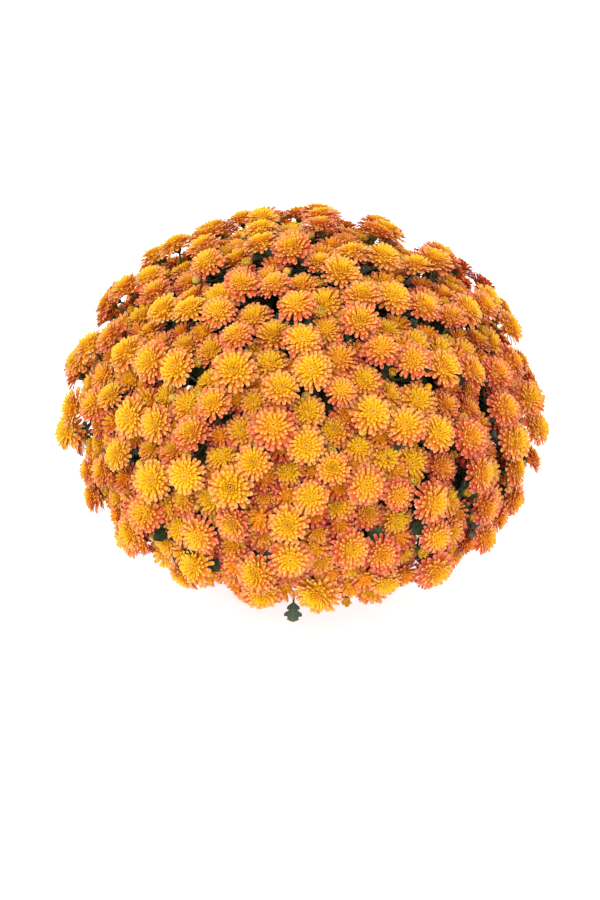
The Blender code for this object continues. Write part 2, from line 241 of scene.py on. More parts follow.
# %% The dome's measures
POT_HEIGHT = 0.125
POT_RIM_RADIUS = 0.100
POT_BASE_RADIUS = 0.070
POT_WALL = 0.0025
SOIL_TOP = POT_HEIGHT - 0.016
SOIL_RISE = 0.004
SOIL_BUMP = 0.0012
SOIL_WAVES = ((95, 1.3), (83, -0.4))
DOME_RADIUS = 0.221
DOME_RISE = 0.200
DOME_DROP = 0.085
DOME_LEVEL = 0.154
DOME_WAVES = ((2, 0.010, 1.6), (3, 0.012, 0.2), (5, 0.008, 4.0))
SHOULDER_SLOPE = 1.12
SKIRT_TILT = math.radians(121)
FOCUS = Vector((0, 0, 0.145))
GOLDEN_ANGLE = math.pi * (3 - math.sqrt(5))


# %% Points on the dome
def dome_girth(turn):
    """The dome's radius at its widest, which waves a little round the plant."""
    return DOME_RADIUS * (1 + sum(size * math.cos(n * turn + phase) for n, size, phase in DOME_WAVES))


def dome_point(tilt, turn):
    """A point of the dome at an angle from its top and a turn about the pot's axis."""
    rise, slope = (DOME_RISE, SHOULDER_SLOPE) if math.cos(tilt) > 0 else (DOME_DROP, 1)
    radius = dome_girth(turn) * math.sin(tilt) ** slope
    height = DOME_LEVEL + rise * math.cos(tilt)
    return Vector((radius * math.cos(turn), radius * math.sin(turn), height))


def dome_normal(point):
    rise = DOME_RISE if point.z > DOME_LEVEL else DOME_DROP
    height = (point.z - DOME_LEVEL) / rise**2
    return Vector((point.x / DOME_RADIUS**2, point.y / DOME_RADIUS**2, height)).normalized()


def dome_tilt(point):
    """The angle from the dome's top at which a point near the dome lies."""
    rise, slope = (DOME_RISE, SHOULDER_SLOPE) if point.z > DOME_LEVEL else (DOME_DROP, 1)
    share = math.hypot(point.x, point.y) / dome_girth(math.atan2(point.y, point.x))
    return math.atan2(share ** (1 / slope), (point.z - DOME_LEVEL) / rise)


def dome_spiral(count):
    """Points spread evenly over the dome on a golden-angle spiral, from its top to its skirt."""
    tilts = np.linspace(0, SKIRT_TILT, 400)
    section = np.array([dome_point(tilt, 0) for tilt in tilts])
    radius, height = np.abs(section[:, 0]), section[:, 2]
    strips = (radius[1:] + radius[:-1]) / 2 * np.hypot(np.diff(radius), np.diff(height))
    area = np.concatenate([[0], np.cumsum(strips)])
    even = np.interp((np.arange(count) + 0.5) / count * area[-1], area, tilts)
    return [dome_point(float(tilt), k * GOLDEN_ANGLE) for k, tilt in enumerate(even)]


print("the dome is about", round(DOME_RADIUS * 2000), "mm across")

# %% Blooms that make room for each other
SETTLE_ROUNDS = 40
SETTLE_SHARE = 0.2
SPACING = 0.0360
NEIGHBOUR_RANGE = 1.3 * SPACING
LEVELS = (0.0, 0.010, -0.010)


def settled(points):
    """The points pushed apart along the dome, as crowded blooms make room for each other."""
    for _ in range(SETTLE_ROUNDS):
        places = np.array(points)
        apart = places[:, None] - places[None]
        away = np.linalg.norm(apart, axis=2)
        push = np.clip(SPACING - away, 0, None) / np.maximum(away, 1e-6)
        moves = (apart * push[:, :, None]).sum(axis=1) * SETTLE_SHARE
        moved = []
        for point, move in zip(points, moves):
            near = point + Vector(move)
            tilt = min(dome_tilt(near), SKIRT_TILT)
            moved.append(dome_point(tilt, math.atan2(near.y, near.x)))
        points = moved
    return points


def best_level(point, blooms):
    """The level, raised, flush or sunk, that sets a bloom best apart from those already placed."""
    near = [b for b in blooms if (b["place"] - point).length < NEIGHBOUR_RANGE]

    def room(level):
        steps = [abs(level - b["level"]) / (b["place"] - point).length for b in near]
        return (round(sum(steps), 6), -abs(level))

    return max(LEVELS, key=room)


# %% The sprays and their blooms
UP = Vector((0, 0, 1))
SPRAY_COUNT = 28
BLOOM_COUNT = 384
SEED = 11
SCATTER = 0.0065
SPRAY_SWELL = 0.005
LIGHT_PULL = 0.30
AXIS_SWAY = 0.16
BLOOM_RADIUS = 0.0205
BLOOM_SPREAD = (0.86, 1.04)
SPRAY_DEPTH = 0.066
STEM_CIRCLE = 0.060
STEM_FOOT = SOIL_TOP + SOIL_RISE + SOIL_BUMP
sprays, blooms = [], []


def drawn(rng):
    """A vector of three draws between -1 and 1."""
    return Vector([rng.uniform(-1, 1) for _ in range(3)])


def nearest_spray(point):
    return max(sprays, key=lambda s: s["aim"].dot((point - FOCUS).normalized()))


rng = random.Random(SEED)
for k, middle in enumerate(dome_spiral(SPRAY_COUNT)):
    aim = (middle - FOCUS).normalized()
    turn = math.atan2(middle.y, middle.x)
    foot = STEM_CIRCLE * math.sqrt(dome_tilt(middle) / SKIRT_TILT)
    spray = {
        "name": f"{k + 1:02d}",
        "number": k,
        "aim": aim,
        "fork": middle - aim * SPRAY_DEPTH,
        "foot": Vector((foot * math.cos(turn), foot * math.sin(turn), STEM_FOOT)),
        "swell": rng.uniform(-1, 1) * SPRAY_SWELL,
        "blooms": [],
        "extras": [],
    }
    sprays.append(spray)
for point in settled([point + drawn(rng) * SCATTER for point in dome_spiral(BLOOM_COUNT)]):
    normal = dome_normal(point)
    spray = nearest_spray(point)
    level = best_level(point, blooms)
    bloom = {
        "place": point,
        "level": level,
        "seat": point + normal * (level + spray["swell"]),
        "axis": (normal + UP * LIGHT_PULL + drawn(rng) * AXIS_SWAY).normalized(),
        "size": BLOOM_RADIUS * rng.uniform(*BLOOM_SPREAD),
        "roll": rng.uniform(0, math.tau),
    }
    blooms.append(bloom)
    spray["blooms"].append(bloom)
worst = 0.0
for spray in sprays:
    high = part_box("spray_" + spray["name"])[1]
    worst = max([worst] + [max(b["seat"][i] - high[i] for i in range(3)) for b in spray["blooms"]])
worst = round(worst * 1000, 1)
print(len(sprays), "sprays,", len(blooms), "blooms, at most", worst, "mm out of a solid's box")

# %% [markdown]
# Petals
# A garden chrysanthemum's bloom is a head of many strap-like petals in rings. Each petal is a
# thin channelled strap with a narrow foot, broad shoulders and a round tip. It could be cut from
# a sheet, but a closed form has a reverse of its own. So it is modelled from a three-sided
# cylinder laid along X: its rings are widened or drawn in where the petal is broad or narrow, its
# two cap centres are pulled out to make the foot and the tip, the margins are lifted and the
# strap is curled. Three sides are enough, because there are some fifty thousand petals. The mesh
# keeps three values for the paint: how far along, how far across, and which side is the reverse.


# %% Editing helpers
def new_shape(name):
    """Names the primitive just added, puts its place in its mesh and starts to edit it."""
    obj = bpy.context.object
    obj.name = name
    bpy.ops.object.transform_apply(location=True, rotation=True, scale=True)
    bpy.ops.object.mode_set(mode="EDIT")
    bpy.ops.mesh.select_all(action="SELECT")
    return obj


def outward():
    """Turns all faces outwards and ends the edit."""
    bpy.ops.mesh.select_all(action="SELECT")
    bpy.ops.mesh.normals_make_consistent(inside=False)
    bpy.ops.object.mode_set(mode="OBJECT")


def pick(obj, test):
    """Selects, in edit mode, the vertices that pass a test on their place."""
    mesh = bmesh.from_edit_mesh(obj.data)
    for vertex in mesh.verts:
        vertex.select = bool(test(vertex.co))
    mesh.select_mode = {"VERT"}
    mesh.select_flush_mode()
    bmesh.update_edit_mesh(obj.data)


def vector_attribute(obj, name, values):
    """Stores a vector for each vertex, under a name that a material can read."""
    mesh = obj.data
    made = mesh.attributes.get(name) or mesh.attributes.new(name, "FLOAT_VECTOR", "POINT")
    made.data.foreach_set("vector", np.asarray(values, np.float32).reshape(-1))


def kept_values(obj, name):
    """The vector that each vertex keeps under a name."""
    values = np.zeros(len(obj.data.vertices) * 3, np.float32)
    obj.data.attributes[name].data.foreach_get("vector", values)
    return values.reshape(-1, 3)


def coordinates(obj):
    values = np.zeros(len(obj.data.vertices) * 3, np.float32)
    obj.data.vertices.foreach_get("co", values)
    return values.reshape(-1, 3)


def copied(template, name, matrix):
    """A copy of an object with its own mesh, moved by a matrix in its mesh."""
    mesh = template.data.copy()
    mesh.transform(matrix)
    obj = bpy.data.objects.new(name, mesh)
    bpy.context.scene.collection.objects.link(obj)
    return obj


def joined(name, parts):
    """The parts joined in one object at the origin."""
    deselect()
    for part in parts:
        part.select_set(True)
    bpy.context.view_layer.objects.active = parts[0]
    bpy.ops.object.join()
    made = bpy.context.object
    made.name = name
    made.data.name = name
    return made


def put_away(templates):
    for template in templates:
        bpy.data.objects.remove(template, do_unlink=True)


# %% One petal
PETAL_THICKNESS = 0.0005
PETAL_CUP = 0.0004
SHARP_EDGE = math.radians(60)
# Each station: a place along the petal and the width there, as shares of its length and width
OUTER_STATIONS = ((0.34, 0.78), (0.68, 1.00), (0.92, 0.78))
INNER_STATIONS = ((0.50, 0.96), (0.90, 0.78))


def petal(name, length, width, curl, stations):
    """A strap petal along +X from the origin, its upper face up. It curls down by an angle."""
    first, last = stations[0][0] * length, stations[-1][0] * length
    deselect()
    bpy.ops.mesh.primitive_cylinder_add(
        vertices=3,
        radius=1,
        depth=last - first,
        end_fill_type="TRIFAN",
        location=((first + last) / 2, 0, 0),
        rotation=(0, math.pi / 2, 0),
    )
    obj = new_shape(name)
    bpy.ops.transform.rotate(value=math.pi / 2, orient_axis="X", center_override=(0, 0, 0))
    bpy.ops.transform.resize(value=(1, width / 2, PETAL_THICKNESS / 2), center_override=(0, 0, 0))
    for place, _ in stations[1:-1]:
        bpy.ops.mesh.select_all(action="SELECT")
        bpy.ops.mesh.bisect(plane_co=(length * place, 0, 0), plane_no=(1, 0, 0))
    small = length * 0.01
    for place, share in stations:
        pick(obj, lambda co: abs(co.x - length * place) < small)
        bpy.ops.transform.resize(value=(1, share, 1), center_override=(length * place, 0, 0))
    hub = PETAL_THICKNESS * 0.1
    for end, target in ((first, 0), (last, length)):
        pick(obj, lambda co: abs(co.x - end) < small and math.hypot(co.y, co.z) < hub)
        bpy.ops.transform.translate(value=(target - end, 0, 0))
    bpy.ops.object.mode_set(mode="OBJECT")
    flat = coordinates(obj)
    values = np.zeros_like(flat)
    values[:, 0] = flat[:, 0] / length
    values[:, 1] = np.sign(np.round(flat[:, 1] / width, 3))
    values[:, 2] = (flat[:, 2] < -PETAL_THICKNESS * 0.3) & (abs(flat[:, 1]) < width * 0.1)
    vector_attribute(obj, "petal_place", values)
    bpy.ops.object.mode_set(mode="EDIT")
    pick(obj, lambda co: abs(co.y) > width * 0.1)
    bpy.ops.transform.translate(value=(0, 0, PETAL_CUP))
    for place, _ in stations:
        hinge = length * place
        pick(obj, lambda co: co.x > hinge + 1e-5)
        share = -curl / len(stations)
        bpy.ops.transform.rotate(value=share, orient_axis="Y", center_override=(hinge, 0, 0))
    outward()
    bpy.ops.object.shade_smooth_by_angle(angle=SHARP_EDGE)
    return obj


for stations in (OUTER_STATIONS, INNER_STATIONS):
    trial = petal("trial_petal", 0.014, 0.004, math.radians(30), stations)
    ends = coordinates(trial)
    print("petal:", len(trial.data.polygons), "faces, tip at", np.round(ends[ends[:, 0].argmax()] * 1000, 1))
    put_away([trial])

# %% [markdown]
# A bloom
# The rings of a bloom open from the outside in. The outermost petals are the longest, widest and
# lie nearly flat, and each ring above stands steeper and shorter, round a golden eye with a green
# dot. All stand on a cushion, which on the plant is the mass of the petals' own feet: it closes
# the view between them, so that a bloom glows instead of showing dark gaps. Each ring's petal is
# modelled once and copied round, with a small seeded turn, twist and stretch for every petal. A
# few different blooms are made this way and then copied, which keeps the dome varied without
# modelling every bloom.

# %% The cushion under the petals
# Each cushion level: height, radius, how young the petals there are
BLOOM_CUSHION = (
    (-0.0036, 0.0045, 0.0),
    (-0.0008, 0.0086, 0.3),
    (0.0032, 0.0062, 0.7),
    (0.0058, 0.0026, 1.0),
)
CUSHION_SIDES = 8
EYE_RISE = 0.0008
EYE_MARK = 2.0


def cushion_model(name, levels):
    """The rounded heart of a bloom, from a cylinder drawn in or out at each of its levels."""
    low, high = levels[0][0], levels[-1][0]
    deselect()
    bpy.ops.mesh.primitive_cylinder_add(
        vertices=CUSHION_SIDES,
        radius=1,
        depth=high - low,
        end_fill_type="TRIFAN",
        location=(0, 0, (low + high) / 2),
    )
    obj = new_shape(name)
    for height, _, _ in levels[1:-1]:
        bpy.ops.mesh.select_all(action="SELECT")
        bpy.ops.mesh.bisect(plane_co=(0, 0, height), plane_no=(0, 0, 1))
    for height, radius, _ in levels:
        pick(obj, lambda co: abs(co.z - height) < 1e-5)
        bpy.ops.transform.resize(value=(radius, radius, 1), center_override=(0, 0, height))
    pick(obj, lambda co: abs(co.z - high) < 1e-5 and math.hypot(co.x, co.y) < 1e-5)
    bpy.ops.transform.translate(value=(0, 0, EYE_RISE))
    outward()
    points = coordinates(obj)
    turns = np.round(np.arctan2(points[:, 1], points[:, 0]) / math.tau * CUSHION_SIDES)
    places = np.zeros_like(points)
    places[:, 0] = 0.55
    places[:, 1] = np.where(turns % 2 == 0, 1, -1)
    vector_attribute(obj, "petal_place", places)
    tone = np.zeros_like(points)
    tone[:, 0] = np.interp(points[:, 2], [level[0] for level in levels], [level[2] for level in levels])
    tone[points[:, 2] > high + EYE_RISE / 2, 0] = EYE_MARK
    tone[:, 2] = 0.5
    vector_attribute(obj, "bloom_tone", tone)
    bpy.ops.object.shade_smooth()
    return obj


def triangles(obj):
    obj.data.calc_loop_triangles()
    return len(obj.data.loop_triangles)


cushion = cushion_model("cushion", BLOOM_CUSHION)
print("a cushion of", triangles(cushion), "triangles")

# %% Bloom models
# Each ring: petals, length, width, lift of the root, curl, root radius, root height, stations
BLOOM_RINGS = (
    (20, 0.0140, 0.0046, 12, 34, 0.0068, -0.0022, OUTER_STATIONS),
    (21, 0.0128, 0.0042, 23, 30, 0.0062, -0.0012, INNER_STATIONS),
    (20, 0.0113, 0.0038, 34, 28, 0.0055, 0.0000, INNER_STATIONS),
    (18, 0.0095, 0.0034, 45, 24, 0.0046, 0.0012, INNER_STATIONS),
    (15, 0.0077, 0.0030, 55, 16, 0.0037, 0.0023, INNER_STATIONS),
    (12, 0.0059, 0.0026, 64, 6, 0.0028, 0.0034, INNER_STATIONS),
    (8, 0.0043, 0.0021, 72, -8, 0.0019, 0.0044, INNER_STATIONS),
)
BLOOM_OPENNESS = (-7, -3, 0, 3, 7, 12, 18)
TURN_DRAW = 0.25
LIFT_DRAW = 11
LIFT_LIMIT = 88
STRETCH_DRAW = (-0.15, 0.10)
HEIGHT_DRAW = 0.0003
TWIST_DRAW = 0.3


def with_tone(part, ring_share, draw):
    """Marks a part with its ring in the bloom and a draw of its own."""
    tone = np.zeros((len(part.data.vertices), 3))
    tone[:, 0] = ring_share
    tone[:, 2] = draw
    vector_attribute(part, "bloom_tone", tone)
    return part


def bloom_model(name, rings, rng, openness, cushion):
    """A bloom about the origin, facing +Z, from a cushion and copies of each ring's petal."""
    parts = [copied(cushion, "cushion", Matrix.Identity(4))]
    for number, (count, length, width, lift, curl, radius, height, stations) in enumerate(rings):
        master = petal("master", length, width, math.radians(curl), stations)
        start = rng.uniform(0, math.tau)
        for k in range(count):
            turn = start + math.tau * (k + rng.uniform(-TURN_DRAW, TURN_DRAW)) / count
            raised = math.radians(min(lift + openness + rng.uniform(-LIFT_DRAW, LIFT_DRAW), LIFT_LIMIT))
            stretch = 1 + rng.uniform(*STRETCH_DRAW)
            place = (
                Matrix.Rotation(turn, 4, "Z")
                @ Matrix.Translation((radius, 0, height + rng.uniform(-HEIGHT_DRAW, HEIGHT_DRAW)))
                @ Matrix.Rotation(-raised, 4, "Y")
                @ Matrix.Rotation(rng.uniform(-TWIST_DRAW, TWIST_DRAW), 4, "X")
                @ Matrix.Diagonal((stretch, 1, 1, 1))
            )
            part = copied(master, "petal", place)
            parts.append(with_tone(part, number / (len(rings) - 1), rng.random()))
        put_away([master])
    return joined(name, parts)


def bloom_models(name, rings, rng, openness, cushion):
    """Models of one kind of bloom, each opened by its own angle in degrees."""
    return [bloom_model(f"{name}_{k}", rings, rng, angle, cushion) for k, angle in enumerate(openness)]


rng = random.Random(SEED)
models = bloom_models("bloom_model", BLOOM_RINGS, rng, BLOOM_OPENNESS, cushion)
print(len(models), "bloom models of", triangles(models[0]), "triangles")

# %% [markdown]
# The petals' paint
# Young petals are golden yellow, and as they age and spread they turn orange, then coral and at
# last crimson, with paler tips and margins, fine grooves along them, darkened as painted shade,
# and a dark red reverse. A picture could be wrapped round each petal, but the colour follows so
# simple a rule that it is worked out from the petal's own place: its ring in the bloom, and how far
# along and across it a point lies. A second value makes some blooms yellower and others redder;
# the late and sunk ones, deep in the dome, are made redder as painted shade.

# %% Petal paint
petal_paint = paint = Paint("petal_paint")
along, across, under = paint.kept("petal_place")
ring_share, warmth_and_shade, petal_draw = paint.kept("bloom_tone")

spot = {0: paint.times(across, 3.0), 1: paint.times(along, 1.2), 2: paint.times(petal_draw, 40.0)}
streaks = paint.noise(paint.node("ShaderNodeCombineXYZ", spot).outputs[0], 2.2)
age = paint.plus(along, paint.times(paint.minus(streaks, 0.5), 0.30), clamp=True)
outer = paint.ramp(
    age,
    (0.00, srgb(250, 150, 4)),
    (0.45, srgb(243, 126, 32)),
    (0.74, srgb(231, 90, 52)),
    (0.96, srgb(247, 152, 110)),
)
middle = paint.ramp(
    age,
    (0.00, srgb(252, 174, 0)),
    (0.45, srgb(252, 170, 12)),
    (0.74, srgb(250, 166, 40)),
    (0.96, srgb(255, 204, 110)),
)
golden = paint.ramp(age, (0.0, srgb(252, 186, 0)), (0.4, srgb(255, 200, 0)), (1.0, srgb(255, 218, 14)))
# Painted shade: the hearts of the redder blooms, most of them deep in the dome, turn orange, as golden petals
# look in shade
golden = paint.mixed(paint.times(paint.past(warmth_and_shade, 0.25, 1.2), 0.8), golden, srgb(250, 150, 14))

# How young a point is: higher towards the heart, lower in a redder bloom, and so lower in the deep blooms,
# whose redness is painted shade
opened = paint.minus(ring_share, paint.times(warmth_and_shade, 0.34))
opened = paint.plus(opened, paint.times(paint.minus(petal_draw, 0.5), 0.16))
face = paint.mixed(paint.past(opened, -0.04, 3.2), outer, middle)
face = paint.mixed(paint.past(opened, 0.40, 4.0), face, golden)
# Crimson on the oldest outer petals: an ageing colour, and in the deep late blooms painted shade
face = paint.mixed(paint.past(opened, -0.12, -3.0), face, srgb(160, 26, 38))
face = paint.mixed(paint.past(opened, 1.25, 4.0), face, srgb(230, 206, 100))

# Painted shade: dark lines along each petal, the shade between narrow petals side by side; the same lines
# give the fine relief
groove_and_shade = paint.crests(paint.maths("COSINE", paint.times(across, 1.5 * math.tau)), 2.0)
face = paint.mixed(paint.times(groove_and_shade, 0.36), face, (0.86, 0.50, 0.30), "MULTIPLY")
margin = paint.maths("POWER", paint.maths("ABSOLUTE", across), 4.0)
margin = paint.times(margin, paint.times(paint.maths("POWER", along, 2.0), 0.28))
face = paint.mixed(margin, face, srgb(255, 196, 156))
face = paint.mixed(paint.past(ring_share, 1.62, 9.0), face, srgb(70, 80, 10))
reverse = paint.ramp(opened, (0.0, srgb(168, 40, 44)), (0.45, srgb(204, 84, 34)), (1.0, srgb(236, 150, 20)))
face = paint.mixed(paint.times(paint.maths("POWER", under, 0.5), 0.9), face, reverse)
paint.relief(paint.minus(1.0, groove_and_shade), 0.4, 0.0003)
paint.surface({"Base Color": face, "Roughness": 0.55, "Specular IOR Level": 0.25, "Sheen Weight": 0.05})

# %% [markdown]
# Late blooms, half-open blooms and buds
# Between the full blooms a plant always carries later ones: smaller blooms with fewer rings, which
# sit a little deeper and close the wide gaps, small cups of upright petals, and round pale buds
# still shut in their green bracts. Each could be a full bloom made smaller, but then its petals
# would be too many and too thin. So late blooms and cups have rings and cushions of their own,
# and a bud is a ball drawn in at its top.

# %% Models of the later blooms
CUP_RINGS = (
    (12, 0.0056, 0.0030, 60, -44, 0.0030, -0.0010, INNER_STATIONS),
    (9, 0.0048, 0.0026, 66, -66, 0.0024, 0.0002, INNER_STATIONS),
)
CUP_CUSHION = (
    (-0.0026, 0.0018, 0.5),
    (-0.0002, 0.0036, 0.7),
    (0.0024, 0.0022, 1.0),
)
LATE_RINGS = (
    (15, 0.0118, 0.0044, 16, 26, 0.0056, -0.0018, INNER_STATIONS),
    (14, 0.0104, 0.0039, 31, 22, 0.0047, -0.0004, INNER_STATIONS),
    (12, 0.0085, 0.0034, 46, 16, 0.0038, 0.0010, INNER_STATIONS),
    (9, 0.0062, 0.0028, 60, 4, 0.0028, 0.0022, INNER_STATIONS),
)
LATE_CUSHION = (
    (-0.0030, 0.0040, 0.0),
    (0.0004, 0.0066, 0.5),
    (0.0042, 0.0024, 1.0),
)
BUD_RADIUS = 0.0040
BUD_TOP = 0.0030
CUP_OPENNESS = (0, -12)
LATE_OPENNESS = (0, 10)
CUP_YOUTH = 0.55


def bud_model():
    """A shut bud: a small ball of folded petals, drawn in a little at its top."""
    deselect()
    bpy.ops.mesh.primitive_uv_sphere_add(segments=9, ring_count=6, radius=BUD_RADIUS, location=(0, 0, 0.0008))
    obj = new_shape("bud_model")
    pick(obj, lambda co: co.z > BUD_TOP)
    bpy.ops.transform.resize(value=(0.7, 0.7, 1), center_override=(0, 0, BUD_TOP))
    bpy.ops.transform.translate(value=(0, 0, 0.0006))
    bpy.ops.object.mode_set(mode="OBJECT")
    heights = coordinates(obj)[:, 2]
    values = np.zeros((len(heights), 3))
    values[:, 0] = 0.35 + 0.4 * (heights - heights.min()) / np.ptp(heights)
    vector_attribute(obj, "petal_place", values)
    bpy.ops.object.shade_smooth()
    return with_tone(obj, 0.9, 0.5)


cup_cushion = cushion_model("cup_cushion", CUP_CUSHION)
late_cushion = cushion_model("late_cushion", LATE_CUSHION)
cup_models = bloom_models("cup_model", CUP_RINGS, rng, CUP_OPENNESS, cup_cushion)
for model in cup_models:
    tone = kept_values(model, "bloom_tone")
    tone[:, 0] = np.maximum(tone[:, 0], CUP_YOUTH)
    vector_attribute(model, "bloom_tone", tone)
late_models = bloom_models("late_model", LATE_RINGS, rng, LATE_OPENNESS, late_cushion)
bud = bud_model()
print("a cup has", triangles(cup_models[0]), "triangles, a late bloom", triangles(late_models[0]))

# %% Gaps between the blooms
GAP_CANDIDATES = 4200
# How far a gap's middle is from any bloom, and from the next gap, at least
LATE_ROOM = (0.0172, 0.0245)
SMALL_ROOM = (0.0158, 0.021)
SKIRT_EDGE = math.radians(113)
SKIRT_GAP = 0.038


def gap_places(taken, clearance, apart):
    """Places on the dome between those taken, widest gaps first."""
    seats = np.array(taken)
    found = []
    for point in dome_spiral(GAP_CANDIDATES):
        found.append((float(np.linalg.norm(seats - np.array(point), axis=1).min()), point))
    found.sort(key=lambda pair: -pair[0])
    kept = []
    for away, point in found:
        if away < clearance:
            break
        if all((point - other).length > apart for other in kept):
            kept.append(point)
    return kept


def skirt_gaps():
    """Places along the dome's lower edge where its lowest blooms stand widest apart."""
    low = [b["place"] for b in blooms if dome_tilt(b["place"]) > SKIRT_EDGE]
    turns = sorted(math.atan2(place.y, place.x) for place in low)
    turns.append(turns[0] + math.tau)
    wide = [(a + b) / 2 for a, b in zip(turns, turns[1:]) if (b - a) * DOME_RADIUS > SKIRT_GAP]
    return [dome_point(SKIRT_EDGE, turn) for turn in wide]


seats = [b["place"] for b in blooms]
late_places = gap_places(seats, *LATE_ROOM)
small_places = gap_places(seats + late_places, *SMALL_ROOM)
skirt_places = skirt_gaps()
print(len(late_places), "late blooms and", len(small_places), "small ones fill the gaps")
print(len(skirt_places), "skirt gaps")

# %% [markdown]
# What stands in the gaps
# Blooms turn to the light, so the lowest ones bend up until they face outwards. The wide gaps get
# late blooms, deep between the others on top, and level with them on the skirt, whose edge would
# else look torn. The small gaps get cups and buds, and low down also a few leaves that peek out.
# One leaf and one small cup hang at the front. Seeded draws give each its depth, size and turn.

# %% Places, sizes and turns of the later blooms
TURN_START = math.radians(88)
TURN_TO_LIGHT = 1.4
BLOOM_SWAY = 0.20
EXTRA_SWAY = 0.22
LATE_DEPTHS, LATE_SIZES = (0.006, 0.012), (0.90, 1.12)
SKIRT_START = math.radians(100)
SKIRT_DEPTHS, SKIRT_SIZES = (-0.002, 0.003), (1.05, 1.2)
BUD_DEPTHS, BUD_SIZES = (0.002, 0.010), (0.75, 1.15)
CUP_DEPTHS, CUP_SIZES = (0.000, 0.008), (0.75, 1.25)
BUD_SHARE = 0.35
PEEK_TILT = math.radians(72)
PEEK_SHARE = 0.3
PEEK_OUT = 0.003
HANGING_LEAF = (Vector((-0.009, -0.189, 0.0965)), Vector((-0.010, -0.1995, 0.0715)))
HANGING_CUP = Vector((0.041, -0.187, 0.0905))
tone_rng = random.Random(SEED + 1)


def swayed(axis, most):
    return (axis + drawn(tone_rng) * most).normalized()


def turned_to_light(axis, point):
    """The axis of a bloom low on the skirt, turned up, so that it faces outwards."""
    low = max(0.0, dome_tilt(point) - TURN_START)
    return (axis + UP * (TURN_TO_LIGHT * low)).normalized()


def add_extra(kind, point, depth, size):
    """A later bloom of a kind, sunk under the dome by a depth."""
    normal = dome_normal(point)
    axis = turned_to_light((normal + UP * LIGHT_PULL).normalized(), point)
    extra = {
        "kind": kind,
        "seat": point - normal * depth,
        "axis": swayed(axis, EXTRA_SWAY),
        "size": size,
        "roll": tone_rng.uniform(0, math.tau),
    }
    nearest_spray(point)["extras"].append(extra)


def add_drawn(kind, point, depths, sizes):
    add_extra(kind, point, tone_rng.uniform(*depths), tone_rng.uniform(*sizes))


for bloom in blooms:
    bloom["axis"] = swayed(turned_to_light(bloom["axis"], bloom["place"]), BLOOM_SWAY)
for point in late_places:
    add_drawn("late", point, LATE_DEPTHS if dome_tilt(point) < SKIRT_START else SKIRT_DEPTHS, LATE_SIZES)
for point in skirt_places:
    add_drawn("skirt", point, SKIRT_DEPTHS, SKIRT_SIZES)
add_extra("cup", HANGING_CUP, 0.0, 1.0)
leaf_targets = []
for point in small_places:
    if dome_tilt(point) > PEEK_TILT and tone_rng.random() < PEEK_SHARE:
        leaf_targets.append(point + dome_normal(point) * PEEK_OUT)
    elif tone_rng.random() < BUD_SHARE:
        add_drawn("bud", point, BUD_DEPTHS, BUD_SIZES)
    else:
        add_drawn("cup", point, CUP_DEPTHS, CUP_SIZES)
print(sum(len(s["extras"]) for s in sprays), "later blooms,", len(leaf_targets), "leaves peek out")

# %% The blooms of each spray
BLOOM_SWELLS = (0.94, 1.17)
WARMTH_TO_RIGHT = 1.2
WARMTH_DRAW = 0.6
# Painted shade: a sunk bloom is made redder, as petals look in the shade deep in the dome
SUNK_SHADE_REDNESS = 0.25
# For each kind of later bloom: its models, and how much redder than a full bloom it is; for the late ones,
# deep in the dome, this is painted shade, and cups and buds are yellower as young blooms
EXTRA_KINDS = {
    "late": (late_models, 1.0),
    "skirt": (late_models, 0.2),
    "cup": (cup_models, -1.1),
    "bud": ([bud], -1.5),
}


def frame_at(bloom, scale=1.0):
    """A matrix at a bloom's seat, with its +Z along the bloom's axis."""
    turn = UP.rotation_difference(bloom["axis"]).to_matrix().to_4x4()
    upright = Matrix.Translation(bloom["seat"]) @ turn @ Matrix.Rotation(bloom["roll"], 4, "Z")
    return upright @ Matrix.Scale(scale, 4)


def placed_bloom(model, bloom, scale, redder):
    """A copy of a model at its seat, redder to the right of the plant, by a draw of its own and by a shift of
    its kind, which for deep blooms is painted shade.
    """
    part = copied(model, "bloom", frame_at(bloom, scale))
    tone = kept_values(part, "bloom_tone")
    own_draw = tone_rng.uniform(-WARMTH_DRAW, WARMTH_DRAW)
    tone[:, 1] = WARMTH_TO_RIGHT * bloom["seat"].x + own_draw + redder
    vector_attribute(part, "bloom_tone", tone)
    return part


bloom_pieces = []
for spray in sprays:
    parts = []
    for bloom in spray["blooms"]:
        model = models[tone_rng.randrange(len(models))]
        scale = bloom["size"] / BLOOM_RADIUS * tone_rng.uniform(*BLOOM_SWELLS)
        parts.append(placed_bloom(model, bloom, scale, SUNK_SHADE_REDNESS * (bloom["level"] < 0)))
    for extra in spray["extras"]:
        choice, redder = EXTRA_KINDS[extra["kind"]]
        model = choice[tone_rng.randrange(len(choice))]
        parts.append(placed_bloom(model, extra, extra["size"], redder))
    piece = joined("blooms_" + spray["name"], parts)
    painted(piece, petal_paint)
    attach(piece, "root")
    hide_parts("spray_" + spray["name"])
    bloom_pieces.append(piece)
put_away(models + cup_models + late_models + [bud, cushion, cup_cushion, late_cushion])
print(len(bloom_pieces), "pieces of blooms,", sum(len(p.data.polygons) for p in bloom_pieces), "faces")

# %% [markdown]
# Stems, stalks and cups
# Every spray stands on one round stem from the soil, and each bloom on a thin stalk that leaves
# the spray's axis and ends in a green cup of bracts. A stalk could be extruded step by step, but
# a curve with a round bevel follows any line: the points say where it runs, and each point's
# radius how thick it is there. Made a mesh, it is a closed tube. The cup is a cone, widened
# between its foot and its rim.

